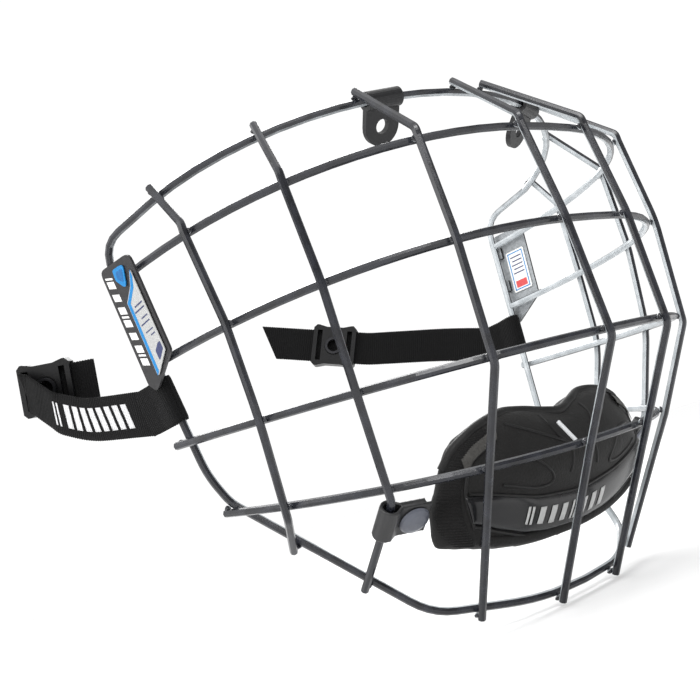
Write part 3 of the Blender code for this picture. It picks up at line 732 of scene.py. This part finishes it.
class Tape:
    """A tape along a path. point() takes millimetres along it, across it and off its face."""

    STEP = 0.5
    SMOOTHINGS = 3

    def __init__(self, path, up):
        spots = [path[0]]
        for a, b in zip(path, path[1:]):
            count = max(1, round((b - a).length / self.STEP))
            spots += [a.lerp(b, (k + 1) / count) for k in range(count)]
        for _ in range(self.SMOOTHINGS):
            inner = [(a + b * 2 + c) / 4 for a, b, c in zip(spots, spots[1:], spots[2:])]
            spots = [spots[0], *inner, spots[-1]]
        self.spots = spots
        self.at = [0.0]
        for a, b in zip(spots, spots[1:]):
            self.at.append(self.at[-1] + (b - a).length)
        self.frames = []
        for k in range(len(spots)):
            along = (spots[min(k + 1, len(spots) - 1)] - spots[max(k - 1, 0)]).normalized()
            across = (up - along * along.dot(up)).normalized()
            self.frames.append((across, along.cross(across)))
        self.length = self.at[-1]

    def point(self, s, y, lift):
        s = min(max(s, 0.0), self.length - 1e-6)
        low = bisect_right(self.at, s) - 1
        share = (s - self.at[low]) / (self.at[low + 1] - self.at[low])
        spot = self.spots[low].lerp(self.spots[low + 1], share)
        across = self.frames[low][0].lerp(self.frames[low + 1][0], share)
        face = self.frames[low][1].lerp(self.frames[low + 1][1], share)
        return F(*(spot + across * y + face * lift))


TAIL = 12.0


def tape_piece(name, tape, skin, end_slant):
    """Webbing with scalloped selvedges, ribs across it, and its tail cut on a slant."""
    half = WEB / 2
    rib_pitch = 1.1
    row_step = 0.28
    spread = [-1 + 2 * k / 16 for k in range(17)]
    section = [(u, 1) for u in spread] + [(1.0, 0.0)] + [(-u, -1) for u in spread]
    section += [(-1.0, 0.0)]
    work = bmesh.new()
    layer = work.loops.layers.uv.new("tape")
    rows = []
    count = int(tape.length / row_step)
    for k in range(count + 1):
        s = tape.length * k / count
        rib = sin(2 * pi * s / rib_pitch)
        row = []
        for u, face in section:
            side = 1.0 - max(0.0, abs(u) - 0.86) * 3.2 * abs(face)
            y = u * (half - 0.12 + 0.14 * rib)
            lift = face * WEB_T / 2 * side * (0.93 + 0.07 * rib)
            cut = max(0.0, s - (tape.length - TAIL)) / TAIL
            here = s - cut * end_slant * (1 - u) / 2
            row.append((work.verts.new(tape.point(here, y, lift)), (here, y)))
        rows.append(row)
    for a, b in zip(rows, rows[1:]):
        for i in range(len(a)):
            j = (i + 1) % len(a)
            face = work.faces.new((a[i][0], b[i][0], b[j][0], a[j][0]))
            for loop, corner in zip(face.loops, (a[i], b[i], b[j], a[j])):
                loop[layer].uv = corner[1]
    for row in (rows[0][::-1], rows[-1]):
        face = work.faces.new([spot for spot, _ in row])
        for loop, corner in zip(face.loops, row):
            loop[layer].uv = corner[1]
    return from_work(name, work, skin)


STITCH_PITCH = 2.1
THREAD_R = 0.2


def add_stitch(work, points):
    """A six-sided thread through the points, thinner at both ends."""
    along = (points[-1] - points[0]).normalized()
    side = along.orthogonal().normalized()
    other = along.cross(side)
    rings = []
    for j, p in enumerate(points):
        r = THREAD_R * MM * (0.45 + 0.55 * sin(pi * (j + 0.5) / 6))
        ring = [p + (side * cos(t * pi / 3) + other * sin(t * pi / 3)) * r for t in range(6)]
        rings.append([work.verts.new(spot) for spot in ring])
    for one, two in zip(rings, rings[1:]):
        for i in range(6):
            work.faces.new((one[i], two[i], two[(i + 1) % 6], one[(i + 1) % 6]))
    work.faces.new(rings[0][::-1])
    work.faces.new(rings[-1])


def stitches(name, tape, lines, lift):
    """Rows of short thread stitches: each line is (s, y) to (s, y)."""
    work = bmesh.new()
    for (s1, y1), (s2, y2) in lines:
        count = max(1, int(hypot(s2 - s1, y2 - y1) / STITCH_PITCH))
        for k in range(count):
            a, b = k / count, (k + 0.78) / count
            points = []
            for j in range(6):
                share = a + (b - a) * j / 5
                bow = sin(pi * j / 5)
                s, y = s1 + (s2 - s1) * share, y1 + (y2 - y1) * share
                points.append(tape.point(s, y, lift + 0.16 * bow - 0.06))
            add_stitch(work, points)
    return from_work(name, work, THREAD)


def seam_lines(start):
    """A boxed cross of stitching that ends just past `start`, with a second row at each end."""
    first, second, third, last = start - 14.0, start - 11.5, start - 1.5, start + 0.6
    lines = [((s, -7.0), (s, 5.2)) for s in (first, second, third, last)]
    lines += [((first, y), (last, y)) for y in (-6.9, 5.1)]
    return lines + [((second, -6.8), (third, 5.0)), ((second, 5.0), (third, -6.8))]


def make_strap_print(tape, start, lift):
    """Eight plain slanted bars and two thin ones along the near strap."""
    low, tall = -4.4, 8.8
    work = bmesh.new()
    layer = work.loops.layers.uv.new("tape")
    bars = [(start + 8.0 + 4.6 * k, 2.9) for k in range(8)]
    bars += [(start + 46.5, 0.9), (start + 48.6, 0.9)]
    for s, wide in bars:
        rows = []
        for i in range(9):
            y = low + tall * i / 8
            lean = 0.22 * (y - low)
            rows.append([(s + lean + wide * j / 4, y) for j in range(5)])
        made = [[work.verts.new(tape.point(*spot, lift)) for spot in row] for row in rows]
        for r in range(8):
            for j in range(4):
                corners = [(r, j), (r, j + 1), (r + 1, j + 1), (r + 1, j)]
                face = work.faces.new([made[i][k] for i, k in corners])
                for corner, (i, k) in zip(face.loops, corners):
                    corner[layer].uv = rows[i][k]
    piece = from_work("strap_print", work, PRINT)
    thick = piece.modifiers.new("film", "SOLIDIFY")
    thick.thickness = 0.08 * MM
    thick.offset = 0.0
    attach(piece, "strap_right")


def make_strap(word, side, run, sewn_outside):
    turn, up = loop_path(side, sewn_outside)
    corners = [(Vector(spot), radius) for spot, radius in run]
    path = turn[:-1] + rounded([(turn[-1], 0), *corners], 8)
    tape = Tape(path, up)
    strap = tape_piece("webbing_strap_" + word, tape, WEBBING, 9.0 * side)
    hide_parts("strap_" + word)
    if side < 0:
        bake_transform(strap)
    else:
        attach(strap, "strap_left")
    sewn_end = 2 * SEWN + pi * LOOP_R
    outer_face = 1 if tape.frames[len(tape.frames) // 2][1].x * side > 0 else -1
    seam_lift = outer_face * (WEB_T / 2 + 0.02)
    seam = stitches("strap_stitching_" + word, tape, seam_lines(sewn_end - 1.5), seam_lift)
    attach(seam, "strap_" + word)
    if side < 0:
        make_strap_print(tape, sewn_end, outer_face * (WEB_T / 2 + 0.05))


make_strap("left", 1, LEFT_RUN, False)
make_strap("right", -1, RIGHT_RUN, True)

# ---------------------------------------------------------------- chin cup

CUP_HALF = 60.0
CUP_DEPTH = 25.8
CUP_ENDS = -55.6
CUP_ROUND = 2.2


def cup_outline(x):
    """Front y of the cup's plan outline at x."""
    share = min(0.999, abs(x) / CUP_HALF)
    return CUP_ENDS - CUP_DEPTH * (1 - share**CUP_ROUND) ** (1 / CUP_ROUND)


def cup_normal(x):
    y = cup_outline(x) - CUP_ENDS
    a = abs(x / CUP_HALF) ** (CUP_ROUND - 1) / CUP_HALF * (1 if x > 0 else -1)
    b = abs(y / CUP_DEPTH) ** (CUP_ROUND - 1) / CUP_DEPTH
    return Vector((a, -b, 0.0)).normalized()


def copy_of(node, name, skin):
    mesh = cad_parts[node].data.copy()
    mesh.name = name
    mesh.materials.clear()
    return new_object(name, mesh, skin)


def apply_modifiers(obj):
    graph = bpy.context.evaluated_depsgraph_get()
    mesh = bpy.data.meshes.new_from_object(obj.evaluated_get(graph))
    old = obj.data
    obj.modifiers.clear()
    obj.data = mesh
    bpy.data.meshes.remove(old)


SETTLE_FRAMES = 20


def swelled(obj, pressure, most):
    """The padded shape: cloth under pressure, kept only where it moves out, by at most `most` mm."""
    before = [(v.co.copy(), v.normal.copy()) for v in obj.data.vertices]
    cloth = obj.modifiers.new("cloth", "CLOTH")
    cloth.settings.use_pressure = True
    cloth.settings.uniform_pressure_force = pressure
    cloth.settings.effector_weights.gravity = 0.0
    cloth.settings.quality = 4
    cloth.settings.mass = 0.2
    scene = bpy.context.scene
    scene.frame_start = 1
    scene.frame_end = SETTLE_FRAMES
    cloth.point_cache.frame_start = 1
    cloth.point_cache.frame_end = SETTLE_FRAMES
    for k in range(1, SETTLE_FRAMES + 1):
        scene.frame_set(k)
    apply_modifiers(obj)
    for v, (home, out) in zip(obj.data.vertices, before):
        v.co = home + out * min(max((v.co - home).dot(out), 0.0), most * MM)
    scene.frame_set(1)


LEAN = 4.5
LEAN_TOP = -70.0
LEAN_TALL = 11.0


def make_cup():
    """The padded cup: the CAD bowl remeshed, its lower front set back, and swelled."""
    cup = copy_of("chin_cup", "padded_cup", [CUP_CLOTH])
    remesh = cup.modifiers.new("remesh", "REMESH")
    remesh.mode = "VOXEL"
    remesh.voxel_size = 2.2 * MM
    ease = cup.modifiers.new("ease", "SMOOTH")
    ease.factor = 0.5
    ease.iterations = 6
    apply_modifiers(cup)
    for v in cup.data.vertices:
        height = v.co.z / MM + ORIGIN.z
        across = min(1.0, abs(v.co.x / MM) / 58.0)
        share = min(1.0, max(0.0, (LEAN_TOP - height) / LEAN_TALL))
        v.co.y += LEAN * MM * share * share * (3 - 2 * share) * (1.0 - across**3)
    swelled(cup, 4.0, 0.9)
    smoother = cup.modifiers.new("rounder", "SUBSURF")
    smoother.levels = 1
    smoother.render_levels = 1
    apply_modifiers(cup)
    cup.data.shade_smooth()
    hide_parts("chin_cup")
    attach(cup, "chin")
    return cup


CUP_TREE = mesh_tree(make_cup().data)


def on_cup(x, z, stand):
    """The point on the cup's front at (x, z), lifted by `stand` mm along the skin's normal."""
    normal = cup_normal(x)
    spot = Vector((x, cup_outline(x), z))
    hit = CUP_TREE.ray_cast(F(*(spot + normal * 25.0)), -normal, 45.0 * MM)
    if hit[0] is None:
        hit = CUP_TREE.find_nearest(F(*spot))
    return hit[0] + hit[1] * stand * MM


def cup_tube(name, points, radius, skin, stand, both=True):
    """A raised line on the cup through (x, z) points, on both halves unless it spans them."""
    made = []
    for side in (1, -1) if both else (1,):
        line = smooth_path([(x * side, 0.0, z) for x, z in points], 8)
        path = [on_cup(p.x, p.z, stand) for p in line]
        for _ in range(2):
            inner = [(a + b * 2 + c) / 4 for a, b, c in zip(path, path[1:], path[2:])]
            path = [path[0], *inner, path[-1]]
        made.append(tube(name, path, radius, skin))
    return made


def cup_patch(name, edges, steps, rows, skin, lift):
    """A patch on the cup between two (x, z) curves, on both halves, lift(k, share) mm off the skin."""
    work = bmesh.new()
    for side in (1, -1):
        one, two = [smooth_path([(x * side, 0.0, z) for x, z in edge], steps) for edge in edges]
        grid = []
        for k, (a, b) in enumerate(zip(one, two)):
            line = []
            for j in range(rows + 1):
                share = j / rows
                p = a.lerp(b, share)
                line.append(on_cup(p.x, p.z, lift(k, share)))
            grid.append([work.verts.new(p) for p in line])
        fill_grid(work, grid)
    return from_work(name, work, skin)


def ride_chin(piece):
    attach(piece, "chin")
    return piece


# Rolled top border, panel piping, embossed lines and the lower roll, as (x, z) on the right half.
BORDER = [
    (-56.0, -62.0), (-51.9, -57.2), (-46.3, -54.2), (-38.7, -51.6),
    (-26.9, -49.9), (-19.0, -50.6), (-8.7, -53.0), (0.0, -54.6),
]
PANEL = [(-52.6, -82.0), (-52.6, -71.5), (-48.8, -63.2), (-45.5, -60.9), (-40.6, -58.9)]
LINE_ONE = [(-31.1, -53.9), (-23.5, -58.0), (-15.1, -62.2), (-8.1, -65.5)]
LINE_TWO = [(-12.7, -54.4), (-12.6, -58.6), (-10.3, -63.3), (-6.9, -67.6), (-8.3, -75.4)]
LINE_THREE = [(-38.3, -65.7), (-28.6, -66.7), (-22.8, -69.9), (-17.7, -76.0), (-26.8, -76.5), (-40.8, -72.2)]
LOW_ROLL = [(-50.0, -87.0), (-43.0, -88.8), (-30.0, -91.0), (-15.0, -92.2), (0.0, -92.6)]


def whole(points):
    """Both halves as one line from the right end to the left end."""
    return points + [(-x, z) for x, z in points[-2::-1]]


def make_cup_lines():
    parts = cup_tube("border", whole(BORDER), 1.8, CUP_SMOOTH, -0.2, both=False)
    parts += cup_tube("panel", PANEL, 0.7, CUP_SMOOTH, 0.05)
    for line in (LINE_ONE, LINE_TWO):
        parts += cup_tube("line", line, 0.55, CUP_SMOOTH, 0.0)
    parts += cup_tube("line", LINE_THREE, 0.5, CUP_SMOOTH, 0.0)
    parts += cup_tube("roll", whole(LOW_ROLL), 2.3, CUP_CLOTH, -0.5, both=False)
    ride_chin(joined("cup_piping", parts))


make_cup_lines()

MESH_LOW = [(-51.0, -66.0), (-47.5, -62.4), (-43.0, -60.2), (-37.5, -58.2)]
MESH_HIGH = [(-50.6, -60.8), (-46.8, -58.2), (-42.6, -56.6), (-36.0, -54.6)]
mesh_patch = cup_patch(
    "cup_mesh_patch", (MESH_LOW, MESH_HIGH), 10, 10, MESH_CLOTH,
    lambda k, share: 1.0 + 0.35 * max(0.0, sin(pi * share)) ** 0.4,
)
ride_chin(mesh_patch)

# Ribbed knit over both ends of the cup, carried up and along its top.
BIND_OUT = [
    (-58.9, -85.4), (-59.5, -78.5), (-58.6, -71.1), (-56.3, -64.6),
    (-51.9, -58.6), (-46.3, -55.4), (-41.0, -53.6),
]
BIND_IN = [
    (-53.1, -87.4), (-54.6, -80.7), (-54.2, -73.1), (-51.7, -66.6),
    (-47.1, -61.6), (-41.3, -58.6), (-35.5, -55.8),
]


def binding_lift(k, share):
    """Ribs every five rows, full across the strip and thin at its inner edge."""
    rib = 0.14 * sin(2 * pi * k / 5.0)
    crown = sin(pi * min(1.0, share + 0.04)) ** 0.35 if share < 0.96 else 0.1
    return 0.15 + (0.9 + rib) * crown


bindings = cup_patch("cup_bindings", (BIND_OUT, BIND_IN), 40, 12, BINDING, binding_lift)
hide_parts("cup_binding_left", "cup_binding_right")
ride_chin(bindings)

BAND_TOP = [(-53.5, -71.4), (-51.8, -72.2), (-39.0, -76.3), (-26.0, -79.7), (-13.0, -81.3), (0.0, -82.2)]
BAND_LOW = [(-53.9, -80.4), (-52.5, -80.9), (-44.0, -84.9), (-31.0, -89.2), (-19.0, -91.5), (0.0, -92.7)]


BAND_STEPS = 96
BAND_ROWS = 14
BAND_END = 53.0
# Start, width, bottom and top of the bars printed on the band.
ONE_BAR = ((0.0, 3.0, 0.24, 0.7),)
TWO_BARS = ((0.0, 1.1, 0.22, 0.72), (2.1, 1.1, 0.22, 0.72))


def band_point(x, share, lift):
    """The point at x, `share` of the way down from the band's top edge to its lower one."""

    def height(line):
        for (x1, z1), (x2, z2) in zip(line, line[1:]):
            if x1 <= -abs(x) <= x2:
                return z1 + (z2 - z1) * (-abs(x) - x1) / (x2 - x1)
        return line[0][1]

    z = height(BAND_TOP) * (1 - share) + height(BAND_LOW) * share
    return on_cup(x, z, lift)


def make_band():
    work = bmesh.new()
    grid = []
    for k in range(BAND_STEPS + 1):
        place = -1 + 2 * k / BAND_STEPS
        x = BAND_END * sin(pi / 2 * place)
        edge = max(0.0, 1 - max(0.0, abs(place) - 0.94) / 0.06)
        line = []
        for j in range(BAND_ROWS + 1):
            share = j / BAND_ROWS
            crown = (1 - abs(2 * share - 1) ** 6) * edge**0.5
            line.append(band_point(x, share, 0.2 + 1.25 * crown))
        grid.append([work.verts.new(p) for p in line])
    for _ in range(3):
        for r in range(1, BAND_STEPS):
            for j in range(1, BAND_ROWS):
                around = grid[r - 1][j].co + grid[r + 1][j].co + grid[r][j - 1].co + grid[r][j + 1].co
                grid[r][j].co = grid[r][j].co * 0.5 + around / 8
    fill_grid(work, grid)
    piece = from_work("moulded_band", work, BAND)
    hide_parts("chin_band")
    return ride_chin(piece)


def make_band_print(band):
    """Plain slanted bars across the band's front, laid on its skin."""
    skin = mesh_tree(band.data)

    def printed_at(x, share):
        spot, out = skin.find_nearest(band_point(x, share, 1.5))[:2]
        return spot + (out if out.dot(cup_normal(x)) > 0 else -out) * 0.15 * MM

    work = bmesh.new()
    for k in range(8):
        x = -31.0 + 6.2 * k
        for start, wide, bottom, top in ONE_BAR if k % 4 else TWO_BARS:
            rows = []
            for j in range(7):
                share = bottom + (top - bottom) * j / 6
                lean = 1.9 * (share - bottom) / (top - bottom)
                spots = [printed_at(x + start - lean + wide * i / 4, share) for i in range(5)]
                rows.append([work.verts.new(spot) for spot in spots])
            fill_grid(work, rows)
    bars = from_work("band_print", work, SILVER)
    film = bars.modifiers.new("film", "SOLIDIFY")
    film.thickness = 0.1 * MM
    film.offset = 1.0
    ride_chin(bars)


def make_band_lips():
    """The cup's thin lips just past the band's two edges."""
    under = [(x, z - 0.6) for x, z in BAND_LOW[1:]]
    over = [(x, z + 0.5) for x, z in BAND_TOP[1:]]
    parts = cup_tube("lip", whole(under), 0.55, CUP_SMOOTH, 0.25, both=False)
    parts += cup_tube("lip", whole(over), 0.55, CUP_SMOOTH, 0.15, both=False)
    ride_chin(joined("band_lips", parts))


make_band_print(make_band())
make_band_lips()

# ---------------------------------------------------------------- chin clips

for word in ("left", "right"):
    clip = copy_of("chin_clip_" + word, "rubber_clip_" + word, RUBBER)
    fine = clip.modifiers.new("remesh", "REMESH")
    fine.mode = "VOXEL"
    fine.voxel_size = 0.3 * MM
    soft = clip.modifiers.new("soft", "SMOOTH")
    soft.factor = 0.5
    soft.iterations = 8
    apply_modifiers(clip)
    clip.data.shade_smooth()
    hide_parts("chin_clip_" + word)
    ride_chin(clip)

# ---------------------------------------------------------------- stage

FLOOR_DROP = 0.0005
SEEN_STRENGTH = 1.05
LIGHT_STRENGTH = 0.42
FOCAL = 1100.0
IMAGE = 700.0
SENSOR = 36.0


def make_floor():
    skin = speckled("studio_floor", (0.86, 0.86, 0.86), 0.75, grain=40.0, bump=0.0, vary=0.01)
    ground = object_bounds()[0][2] - FLOOR_DROP
    work = bmesh.new()
    bmesh.ops.create_circle(work, cap_ends=True, segments=64, radius=6.0)
    for v in work.verts:
        v.co.z = ground
    from_work("floor", work, skin, smooth=False)


def make_world():
    """White all round: one strength for the light, and a brighter one for what the camera sees."""
    world = bpy.data.worlds.new("studio")
    bpy.context.scene.world = world
    world.use_nodes = True
    tree = world.node_tree
    light = tree.nodes["Background"]
    seen = tree.nodes.new("ShaderNodeBackground")
    for node, strength in ((light, LIGHT_STRENGTH), (seen, SEEN_STRENGTH)):
        node.inputs["Color"].default_value = (1.0, 1.0, 1.0, 1.0)
        node.inputs["Strength"].default_value = strength
    rays = tree.nodes.new("ShaderNodeLightPath")
    either = tree.nodes.new("ShaderNodeMixShader")
    tree.links.new(rays.outputs["Is Camera Ray"], either.inputs[0])
    tree.links.new(light.outputs[0], either.inputs[1])
    tree.links.new(seen.outputs[0], either.inputs[2])
    tree.links.new(either.outputs[0], tree.nodes["World Output"].inputs["Surface"])


def area_light(name, spot, size, power):
    """A soft round light aimed at the middle of the cage."""
    data = bpy.data.lights.new(name, "AREA")
    data.shape = "DISK"
    data.size = size
    data.energy = power
    obj = bpy.data.objects.new(name, data)
    bpy.context.scene.collection.objects.link(obj)
    obj.location = spot
    obj.rotation_euler = (F(0.0, 0.0, -20.0) - Vector(spot)).to_track_quat("-Z", "Y").to_euler()


def make_lights():
    data = bpy.data.lights.new("ceiling", "SUN")
    data.energy = 2.6
    data.angle = radians(120)
    sun = bpy.data.objects.new("ceiling", data)
    bpy.context.scene.collection.objects.link(sun)
    sun.rotation_euler = (radians(-18), radians(-14), 0.0)
    area_light("key", (-0.5, -0.9, 0.8), 0.6, 9.0)
    area_light("fill", (-1.1, 0.3, 0.2), 0.8, 4.0)
    area_light("rim", (0.8, 0.9, 0.7), 0.7, 7.0)


def make_camera():
    """From the wearer's right, a little in front and slightly below. FOCAL is in pixels of the image."""
    data = bpy.data.cameras.new("camera")
    data.sensor_width = SENSOR
    data.lens = FOCAL / IMAGE * SENSOR
    data.clip_start = 0.01
    camera = bpy.data.objects.new("camera", data)
    bpy.context.scene.collection.objects.link(camera)
    bpy.context.scene.camera = camera
    turn = Euler([radians(angle) for angle in (97.972, 17.973, -44.023)])
    camera.matrix_world = Matrix.Translation(F(-316.87, -292.61, -62.98)) @ turn.to_matrix().to_4x4()


make_floor()
make_world()
make_lights()
make_camera()
bpy.context.scene.view_settings.view_transform = "Standard"
